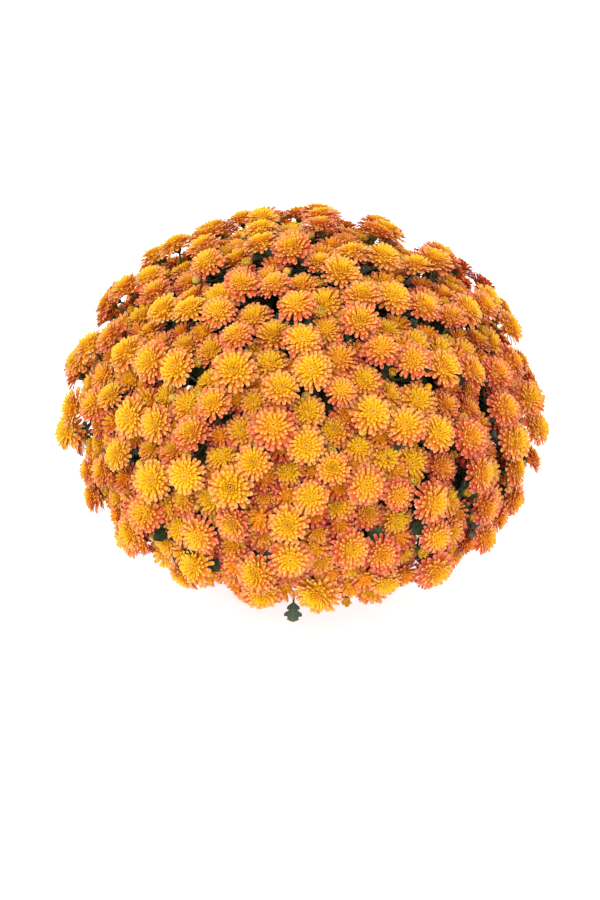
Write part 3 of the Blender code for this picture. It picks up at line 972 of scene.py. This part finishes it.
# %% Stem and stalk paths
STEM_RADIUS = 0.0034
FORK_RADIUS = 0.0026
STALK_RADIUS = 0.0011
STEM_POINTS = 9
STALK_POINTS = 4
STEM_SOCKET = 0.030
STEM_PULL = 0.4
CALYX_DEPTH = 0.0085
LEADER_ROOT = 0.75
ROOT_RANGE = (0.08, 0.66)
BRANCH_ANGLE = math.radians(38)
EXTRA_ROOT_RANGE = (0.3, 0.65)
AXIS_END = 0.8


def bezier(a, b, c, d, count):
    """Points along a Bezier curve from a to d, led by b and c."""
    points = []
    for k in range(count + 1):
        t = k / count
        s = 1 - t
        points.append(a * s**3 + b * 3 * t * s**2 + c * 3 * t**2 * s + d * t**3)
    return points


def stem_points(spray):
    """Points along a stem: up out of the soil, then out into the line of its spray."""
    foot, fork = spray["foot"], spray["fork"]
    pull = (fork - foot).length * STEM_PULL
    bend = bezier(foot, foot + UP * pull, fork - spray["aim"] * pull, fork, STEM_POINTS)
    return [foot - UP * STEM_SOCKET] + bend


def neck(bloom):
    """Where a stalk meets its bloom's cup."""
    return bloom["seat"] - bloom["axis"] * CALYX_DEPTH


def stalk_points(root, ahead, bloom):
    """Points along a stalk, out of the axis and then up into its bloom."""
    end = neck(bloom)
    span = (end - root).length
    return bezier(root, root + ahead * span * 0.25, end - bloom["axis"] * span * 0.3, end, STALK_POINTS)


def spray_stalks(spray):
    """The stalks of a spray, as in its solid, those of its later blooms, and its axis' end."""
    fork, aim = spray["fork"], spray["aim"]
    leader = max(spray["blooms"], key=lambda b: aim.dot((b["seat"] - fork).normalized()))
    along_axis = neck(leader) - fork
    ahead = along_axis.normalized()

    def branching(bloom):
        away = neck(bloom) - fork
        height = away.dot(ahead)
        return height - (away - ahead * height).length / math.tan(BRANCH_ANGLE)

    lines = [stalk_points(fork + along_axis * LEADER_ROOT, ahead, leader)]
    others = sorted((b for b in spray["blooms"] if b is not leader), key=branching)
    low, high = ROOT_RANGE
    for k, bloom in enumerate(others):
        share = low + (high - low) * (k + 0.5) / len(others)
        lines.append(stalk_points(fork + along_axis * share, ahead, bloom))
    for extra in spray["extras"]:
        root = fork + along_axis * tone_rng.uniform(*EXTRA_ROOT_RANGE)
        lines.append(stalk_points(root, ahead, extra))
    return lines, fork + along_axis * AXIS_END


def round_tube(name, lines, thick, thin, sides):
    """Round tubes along lines of points, as one mesh."""
    curve = bpy.data.curves.new(name, "CURVE")
    curve.dimensions = "3D"
    curve.bevel_depth = 1.0
    curve.bevel_resolution = (sides - 4) // 2
    curve.use_fill_caps = True
    for points in lines:
        spline = curve.splines.new("POLY")
        spline.points.add(len(points) - 1)
        for k, point in enumerate(points):
            spline.points[k].co = (*point, 1)
            spline.points[k].radius = thick + (thin - thick) * k / (len(points) - 1)
    obj = bpy.data.objects.new(name, curve)
    bpy.context.scene.collection.objects.link(obj)
    deselect()
    obj.select_set(True)
    bpy.context.view_layer.objects.active = obj
    bpy.ops.object.convert(target="MESH")
    bpy.ops.object.shade_smooth_by_angle(angle=SHARP_EDGE)
    return bpy.context.object


# %% The cup of bracts
CUP_FOOT = 0.0014
CUP_WAIST = 0.45
CUP_WIDENING = 1.35


def bract_cup(name, rim, height):
    """A green cup under a bloom, from a cone widened at its waist."""
    waist = height * CUP_WAIST - CALYX_DEPTH
    deselect()
    bpy.ops.mesh.primitive_cone_add(
        vertices=7, radius1=CUP_FOOT, radius2=rim, depth=height, location=(0, 0, height / 2 - CALYX_DEPTH)
    )
    obj = new_shape(name)
    bpy.ops.mesh.bisect(plane_co=(0, 0, waist), plane_no=(0, 0, 1))
    pick(obj, lambda co: abs(co.z - waist) < 1e-5)
    bpy.ops.transform.resize(value=(CUP_WIDENING, CUP_WIDENING, 1), center_override=(0, 0, 0))
    outward()
    bpy.ops.object.shade_smooth_by_angle(angle=SHARP_EDGE)
    return obj


bloom_cup = bract_cup("bloom_cup", 0.0048, 0.0055)
bud_cup = bract_cup("bud_cup", 0.0043, 0.0085)
print("bract cups of", len(bloom_cup.data.polygons), "faces")

# %% [markdown]
# Leaves
# Chrysanthemum leaves are lobed like small oak leaves, dark green above and greyer below. The
# outline could be drawn as a curve and filled, but a grid keeps a rib down the middle, along which
# the leaf folds. So each row of a narrow grid is drawn out or in to make the lobes and the bays
# between them, and then a copy of the sheet, turned over and pushed down along the rib, gives it
# its body.

# %% One leaf
# Each row: place along the leaf, half width, how far the margin leans towards the tip
LEAF_ROWS = (
    (0.00, 0.025, 0.00),
    (0.15, 0.035, 0.00),
    (0.26, 0.200, 0.01),
    (0.35, 0.240, 0.03),
    (0.43, 0.150, 0.00),
    (0.53, 0.310, 0.02),
    (0.63, 0.330, 0.05),
    (0.72, 0.190, 0.00),
    (0.85, 0.210, 0.02),
    (1.00, 0.030, 0.00),
)
LEAF_BODY = 0.012
LEAF_ARCH = 0.44
LEAF_DROOP = 0.25
LEAF_FOLD = 0.28
LEAF_ROLL = 0.5
ASIDE = 10  # rows already shaped wait this far off, so that the next pick leaves them out


def leaf_model():
    """A lobed leaf one unit long, along +Y from the origin, its upper face up."""
    deselect()
    rows = len(LEAF_ROWS) - 1
    bpy.ops.mesh.primitive_grid_add(x_subdivisions=2, y_subdivisions=rows, size=2, location=(0, 0, 0))
    obj = new_shape("leaf_model")
    spots = [-1 + 2 * k / rows for k in range(rows + 1)]
    for spot, (along_leaf, half_width, lean) in reversed(list(zip(spots, LEAF_ROWS))):
        pick(obj, lambda co: abs(co.y - spot) < 0.02)
        bpy.ops.transform.resize(value=(half_width, 1, 1), center_override=(0, spot, 0))
        bpy.ops.transform.translate(value=(0, ASIDE + along_leaf - spot, 0))
        pick(obj, lambda co: abs(co.y - ASIDE - along_leaf) < 1e-3 and abs(co.x) > 1e-3)
        bpy.ops.transform.translate(value=(0, lean, 0))
    bpy.ops.mesh.select_all(action="SELECT")
    bpy.ops.transform.translate(value=(0, -ASIDE, 0))
    bpy.ops.mesh.duplicate()
    bpy.ops.mesh.flip_normals()
    bpy.ops.transform.translate(value=(0, 0, -LEAF_BODY))
    rib = [row[0] for row in LEAF_ROWS[1:-1]]

    def off_rib(co):
        on_rib = abs(co.x) < 1e-4 and any(abs(co.y - y) < 1e-3 for y in rib)
        return co.z < -1e-4 and not on_rib

    pick(obj, off_rib)
    bpy.ops.transform.translate(value=(0, 0, LEAF_BODY))
    bpy.ops.mesh.select_all(action="SELECT")
    bpy.ops.mesh.remove_doubles(threshold=1e-4)
    outward()
    flat = coordinates(obj)
    x, y, z = flat.T
    vector_attribute(obj, "leaf_place", np.stack([y, x, np.where(z < -1e-4, 2.0, 1.0)], axis=1))
    bent = flat.copy()
    bent[:, 2] += LEAF_ARCH * y * (1 - y) - LEAF_DROOP * y**2
    bent[:, 2] += LEAF_FOLD * np.abs(x) - LEAF_ROLL * x**2
    obj.data.vertices.foreach_set("co", bent.reshape(-1))
    obj.data.update()
    bpy.ops.object.shade_smooth_by_angle(angle=SHARP_EDGE)
    return obj


leaf = leaf_model()
low, high = coordinates(leaf).min(0), coordinates(leaf).max(0)
print("a leaf has", len(leaf.data.polygons), "faces, box", np.round(low, 2), np.round(high, 2))

# %% [markdown]
# The foliage's paint
# A leaf's veins leave its rib and run slantwise to the lobes, paler than the blade. They could be
# modelled, but at this size a paint shows them as well. It reads the leaf's own place, kept in its
# mesh: a wave of "along minus across" gives slanted lines, and a high power makes them thin.
# Stalks and bract cups keep no such place, so the same paint gives them a lighter green.

# %% Foliage paint
foliage_paint = paint = Paint("foliage_paint")
along, across, side = paint.kept("leaf_place")
aside = paint.maths("ABSOLUTE", across)
mottle = paint.noise(paint.place(), 60.0)
blade = paint.ramp(mottle, (0.3, srgb(24, 38, 18)), (0.7, srgb(42, 62, 26)))
stalk = paint.ramp(mottle, (0.3, srgb(62, 84, 40)), (0.7, srgb(88, 108, 52)))
slant = paint.minus(along, paint.times(aside, 0.9))
veins = paint.crests(paint.maths("SINE", paint.times(slant, 38.0)), 14.0)
rib_line = paint.minus(1.0, paint.times(aside, 28.0), clamp=True)
veins = paint.maths("MAXIMUM", paint.times(veins, 0.6), rib_line)
blade = paint.mixed(paint.times(veins, 0.55), blade, srgb(76, 98, 48))
blade = paint.mixed(paint.minus(side, 1.0, clamp=True), blade, srgb(88, 104, 74))
paint.relief(paint.minus(mottle, veins), 0.35, 0.0006)
colour = paint.mixed(paint.maths("MINIMUM", side, 1.0), stalk, blade)
paint.surface({"Base Color": colour, "Roughness": 0.5})

# %% [markdown]
# Leafy stems
# Leaves stand along the stems and in smaller sizes along the stalks, turned by the golden angle
# so that none shades the next. Those under the blooms spread level with the dome and close the
# view into the plant, which is what makes the gaps between real blooms so dark. A leaf that would
# come out between the blooms is made shorter, apart from the few that peek out low down and the
# one that hangs at the front.

# %% Where leaves stand
LEAF_SHELL = 0.93
LEAF_SHRINK = 0.85
STALK_LEAF_SHARES = (0.25, 0.48, 0.70)
STALK_LEAF_LENGTHS = (0.042, 0.062)
STALK_LEAF_SHORTEST = 0.016
STALK_LEAF_TURN = 0.3
STALK_LEAF_RISE = (0.1, 0.45)
STEM_LEAVES = 9
STEM_LEAF_START, STEM_LEAF_SPAN = 0.40, 0.58
STEM_LEAF_LENGTHS = (0.055, 0.078)
STEM_LEAF_SHORTEST = 0.02
PEEK_LENGTH = 0.036
leaf_rng = random.Random(SEED + 2)


def depth_share(point):
    """How far out a point is, as a share of the way from the focus to the dome."""
    away = point - FOCUS
    aim = away.normalized()
    low, high = 0.0, 0.4
    for _ in range(18):
        middle = (low + high) / 2
        probe = FOCUS + aim * middle
        tilt = dome_tilt(probe)
        surface = dome_point(min(tilt, math.pi * 0.98), math.atan2(probe.y, probe.x))
        if (surface - FOCUS).length > middle:
            low = middle
        else:
            high = middle
    return away.length / max(low, 1e-6)


def leaf_at(root, out, up, length, shortest=None):
    """A leaf from a root, its upper face towards up, shortened to stay under the blooms."""
    while shortest and depth_share(root + out * length) > LEAF_SHELL and length > shortest:
        length *= LEAF_SHRINK
    side_axis = out.cross(up).normalized()
    up = side_axis.cross(out).normalized()
    turn = Matrix((side_axis, out, up)).transposed().to_4x4()
    return copied(leaf, "leaf", Matrix.Translation(root) @ turn @ Matrix.Scale(length, 4))


def on_line(line, at):
    """A point at a place along a line of points, and the line's direction there."""
    low = min(int(at), len(line) - 2)
    return line[low].lerp(line[low + 1], at - low), (line[low + 1] - line[low]).normalized()


def stalk_leaves(line, number):
    """Leaves on a stalk, spread level with the dome."""
    made = []
    for k, share in enumerate(STALK_LEAF_SHARES):
        root, ahead = on_line(line, share * (len(line) - 1))
        normal = (root - FOCUS).normalized()
        own_turn = leaf_rng.uniform(-STALK_LEAF_TURN, STALK_LEAF_TURN)
        place_in_row = len(STALK_LEAF_SHARES) * number + k
        turn = Matrix.Rotation(place_in_row * GOLDEN_ANGLE + own_turn, 3, normal)
        across_way = turn @ normal.orthogonal().normalized()
        out = (across_way + normal * leaf_rng.uniform(*STALK_LEAF_RISE) + ahead * 0.2).normalized()
        length = leaf_rng.uniform(*STALK_LEAF_LENGTHS)
        made.append(leaf_at(root, out, normal + UP * 0.4, length, STALK_LEAF_SHORTEST))
    return made


def stem_leaves(points, number):
    """Larger leaves along the upper part of a stem."""
    made = []
    for k in range(STEM_LEAVES):
        share = STEM_LEAF_START + STEM_LEAF_SPAN * k / STEM_LEAVES
        root, ahead = on_line(points, (len(points) - 1) * share)
        turn = Matrix.Rotation((number + k) * GOLDEN_ANGLE, 3, ahead)
        out = (turn @ ahead.orthogonal().normalized() + ahead * 0.5).normalized()
        length = leaf_rng.uniform(*STEM_LEAF_LENGTHS)
        made.append(leaf_at(root, out, ahead, length, STEM_LEAF_SHORTEST))
    return made


def peeking_leaf(lines, tip):
    """A leaf from the nearest stalk whose tip reaches out between the blooms."""
    roots = [line[k].lerp(line[k + 1], 0.5) for line in lines for k in (1, 2)]
    root = min(roots, key=lambda spot: abs((tip - spot).length - PEEK_LENGTH))
    out = (tip - root).normalized()
    return leaf_at(root, out, UP + dome_normal(tip), (tip - root).length)


def hanging_stalk(lines):
    """The stalk of the leaf that hangs at the front, from the nearest of a spray's stalks."""
    root, tip = HANGING_LEAF
    near = min((line[k] for line in lines for k in (1, 2, 3)), key=lambda spot: (spot - root).length)
    return [near, (near + root) / 2 + Vector((0, -0.004, 0.003)), root, root.lerp(tip, 0.2)]


print("leaves reach", round(LEAF_SHELL * 100), "% of the way out to the dome")

# %% Stems with their leaves
stem_pieces = []
for spray in sprays:
    points = stem_points(spray)
    lines, axis_end = spray_stalks(spray)
    hangs = nearest_spray(HANGING_LEAF[0]) is spray
    if hangs:
        lines.append(hanging_stalk(lines))
    parts = [
        round_tube("stem", [points + [axis_end]], STEM_RADIUS, FORK_RADIUS, 10),
        round_tube("stalks", lines, STALK_RADIUS * 1.3, STALK_RADIUS, 6),
    ]
    for bloom in spray["blooms"]:
        parts.append(copied(bloom_cup, "cup", frame_at(bloom)))
    for extra in spray["extras"]:
        model = bud_cup if extra["kind"] == "bud" else bloom_cup
        parts.append(copied(model, "cup", frame_at(extra, extra["size"])))
    for k, line in enumerate(lines[: len(spray["blooms"])]):
        parts += stalk_leaves(line, k)
    parts += stem_leaves(points, spray["number"])
    parts += [peeking_leaf(lines, tip) for tip in leaf_targets if nearest_spray(tip) is spray]
    if hangs:
        root, tip = HANGING_LEAF
        parts.append(leaf_at(root, (tip - root).normalized(), Vector((0, -1, 0.8)), (tip - root).length))
    piece = joined("leafy_stem_" + spray["name"], parts)
    painted(piece, foliage_paint)
    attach(piece, "root")
    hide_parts("stem_" + spray["name"])
    stem_pieces.append(piece)
put_away([bloom_cup, bud_cup, leaf])
print(len(stem_pieces), "leafy stems,", sum(len(p.data.polygons) for p in stem_pieces), "faces")

# %% [markdown]
# The pot
# Nursery pots are moulded in one piece: a tapered pan with a stiff band at the rim, a rounded
# foot and holes that let water out. It could be spun from a profile. Here a disc is extruded up
# the outside, over the rim and down the inside, because each step then is one measure of the
# pot. The holes are cut by a Boolean, and a small bevel softens all edges. The plastic is matt,
# a little cloudy, and finely grained.

# %% Pot
BAND_HEIGHT = 0.014
BAND_STEP = 0.003
FOOT_CHAMFER = 0.003
POT_SIDES = 96
DRAIN_COUNT = 6
DRAIN_RADIUS = 0.005
DRAIN_CIRCLE = 0.050
SOFT_EDGE = 0.0005
SOFT_ANGLE = math.radians(30)


def pot_inside_radius(height):
    """Radius of the pot's inner wall at a height."""
    flare = (POT_RIM_RADIUS - BAND_STEP - POT_BASE_RADIUS) / POT_HEIGHT
    return POT_BASE_RADIUS + flare * height - POT_WALL


def pot_model():
    band_foot = POT_HEIGHT - BAND_HEIGHT
    radius = POT_BASE_RADIUS - FOOT_CHAMFER
    deselect()
    bpy.ops.mesh.primitive_circle_add(vertices=POT_SIDES, radius=radius, fill_type="NGON", location=(0, 0, 0))
    obj = new_shape("pot_shell")
    # Each step: how far up, and the radius there
    steps = (
        (FOOT_CHAMFER, POT_BASE_RADIUS),
        (band_foot - FOOT_CHAMFER, pot_inside_radius(band_foot) + POT_WALL),
        (BAND_STEP / 2, POT_RIM_RADIUS),
        (BAND_HEIGHT - BAND_STEP / 2, POT_RIM_RADIUS),
        (0, pot_inside_radius(POT_HEIGHT)),
        (POT_WALL - POT_HEIGHT, pot_inside_radius(POT_WALL)),
    )
    for height, wider in steps:
        bpy.ops.mesh.extrude_region_move(TRANSFORM_OT_translate={"value": (0, 0, height)})
        share = wider / radius
        bpy.ops.transform.resize(value=(share, share, 1), center_override=(0, 0, 0))
        radius = wider
    outward()
    cutters = []
    for k in range(DRAIN_COUNT):
        turn = math.tau * k / DRAIN_COUNT
        spot = (DRAIN_CIRCLE * math.cos(turn), DRAIN_CIRCLE * math.sin(turn), POT_WALL / 2)
        deselect()
        bpy.ops.mesh.primitive_cylinder_add(
            vertices=20, radius=DRAIN_RADIUS, depth=4 * POT_WALL, location=spot
        )
        cutters.append(bpy.context.object)
    cutter = joined("drains", cutters)
    deselect()
    obj.select_set(True)
    bpy.context.view_layer.objects.active = obj
    cut = obj.modifiers.new("holes", "BOOLEAN")
    cut.operation = "DIFFERENCE"
    cut.object = cutter
    bpy.ops.object.modifier_apply(modifier=cut.name)
    put_away([cutter])
    soften = obj.modifiers.new("soften", "BEVEL")
    soften.width = SOFT_EDGE
    soften.segments = 2
    soften.limit_method = "ANGLE"
    soften.angle_limit = SOFT_ANGLE
    bpy.ops.object.modifier_apply(modifier=soften.name)
    bpy.ops.object.shade_smooth_by_angle(angle=SOFT_ANGLE)
    return obj


paint = Paint("pot_plastic")
place = paint.place()
cloud = paint.noise(place, 14.0, 4.0)
clay = paint.ramp(cloud, (0.3, srgb(150, 84, 58)), (0.7, srgb(170, 98, 68)))
rough = paint.node("ShaderNodeMapRange", {"Value": cloud, "To Min": 0.38, "To Max": 0.58})
paint.relief(paint.noise(place, 900.0), 0.15, 0.0003)
paint.surface({"Base Color": clay, "Roughness": rough.outputs[0]})
pot = pot_model()
painted(pot, paint)
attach(pot, "root")
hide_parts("pot")
print("pot of", len(pot.data.polygons), "faces")

# %% [markdown]
# The soil
# Potting soil is a dark, fibrous crumb with white grains of perlite. A relief in the paint alone
# would look smooth from the side, so a disc with rings and spokes follows the same uneven height
# as the solid, and seeded crumbs and grains lie on it, all copies of one small ball.

# %% Soil bed
SOIL_SIDES = 64
SOIL_RINGS = 11
SOIL_DEPTH = 0.05
SOIL_PLAY = 0.0006
SOIL_LIFT = 0.0006
soil_rng = random.Random(SEED + 3)


def soil_height(x, y):
    """Height of the soil's uneven top, raised a little towards the crown."""
    away = math.hypot(x, y) / POT_RIM_RADIUS
    (along_x, shift_x), (along_y, shift_y) = SOIL_WAVES
    bumps = math.sin(along_x * x + shift_x) * math.cos(along_y * y + shift_y)
    return SOIL_TOP + SOIL_RISE * (1 - away) + SOIL_BUMP * bumps


def soil_model():
    radius = pot_inside_radius(SOIL_TOP) - SOIL_PLAY
    deselect()
    bpy.ops.mesh.primitive_cylinder_add(
        vertices=SOIL_SIDES, radius=radius, depth=SOIL_DEPTH, location=(0, 0, SOIL_TOP - SOIL_DEPTH / 2)
    )
    obj = new_shape("soil_bed")
    bottom = (pot_inside_radius(SOIL_TOP - SOIL_DEPTH) - SOIL_PLAY) / radius
    pick(obj, lambda co: co.z < SOIL_TOP - 0.04)
    bpy.ops.transform.resize(value=(bottom, bottom, 1), center_override=(0, 0, 0))
    bpy.ops.mesh.select_mode(type="FACE")
    mesh = bmesh.from_edit_mesh(obj.data)
    for face in mesh.faces:
        face.select = face.normal.z > 0.5
    bmesh.update_edit_mesh(obj.data)
    for _ in range(SOIL_RINGS):
        bpy.ops.mesh.inset(thickness=radius / (SOIL_RINGS + 1))
    bpy.ops.mesh.select_all(action="SELECT")
    bpy.ops.mesh.select_mode(type="VERT")
    bpy.ops.object.mode_set(mode="OBJECT")
    for vertex in obj.data.vertices:
        if vertex.co.z > SOIL_TOP - 0.001:
            lift = soil_rng.uniform(-SOIL_LIFT, SOIL_LIFT)
            vertex.co.z = soil_height(vertex.co.x, vertex.co.y) + lift
    return obj


soil = soil_model()
print("a soil bed of", len(soil.data.polygons), "faces")

# %% Crumbs and grains
CRUMBS, CRUMB_SIZES = 260, (0.0012, 0.0036)
GRAINS, GRAIN_SIZES = 60, (0.0012, 0.0024)


def scattered(model, count, sizes):
    """Copies of a crumb lying about on the soil."""
    made = []
    reach = pot_inside_radius(SOIL_TOP) - 0.004
    for _ in range(count):
        away, turn = reach * math.sqrt(soil_rng.random()), soil_rng.uniform(0, math.tau)
        x, y = away * math.cos(turn), away * math.sin(turn)
        size = soil_rng.uniform(*sizes)
        angle = soil_rng.uniform(0, math.tau)
        tilt = Matrix.Rotation(angle, 4, Vector((soil_rng.random(), soil_rng.random(), 1)))
        shape = Matrix.Diagonal((size, size * soil_rng.uniform(0.6, 1), size * soil_rng.uniform(0.4, 0.8), 1))
        place = Matrix.Translation((x, y, soil_height(x, y) + size * 0.15)) @ tilt @ shape
        made.append(copied(model, "crumb", place))
    return made


deselect()
bpy.ops.mesh.primitive_ico_sphere_add(subdivisions=1, radius=1)
crumb = bpy.context.object
crumbs = scattered(crumb, CRUMBS, CRUMB_SIZES)
grains = scattered(crumb, GRAINS, GRAIN_SIZES)
put_away([crumb])
for grain in grains:
    vector_attribute(grain, "grain", np.ones((len(grain.data.vertices), 3)))
soil = joined("soil_bed", [soil] + crumbs + grains)
paint = Paint("soil_crumb")
crumbly = paint.noise(paint.place(), 260.0, 5.0)
earth = paint.ramp(crumbly, (0.3, srgb(38, 28, 20)), (0.55, srgb(66, 48, 34)), (0.75, srgb(96, 74, 54)))
is_grain = paint.node("ShaderNodeAttribute", {}, attribute_name="grain").outputs["Fac"]
paint.relief(crumbly, 0.8, 0.001)
paint.surface({"Base Color": paint.mixed(is_grain, earth, srgb(226, 222, 210)), "Roughness": 0.92})
painted(soil, paint)
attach(soil, "root")
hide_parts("soil")
print("soil of", len(soil.data.polygons), "faces")

# %% Sizes and the end
added = bloom_pieces + stem_pieces + [pot, soil]
counts = [triangles(piece) for piece in added]
print(len(added), "pieces,", sum(counts), "triangles, at most", max(counts), "in one")
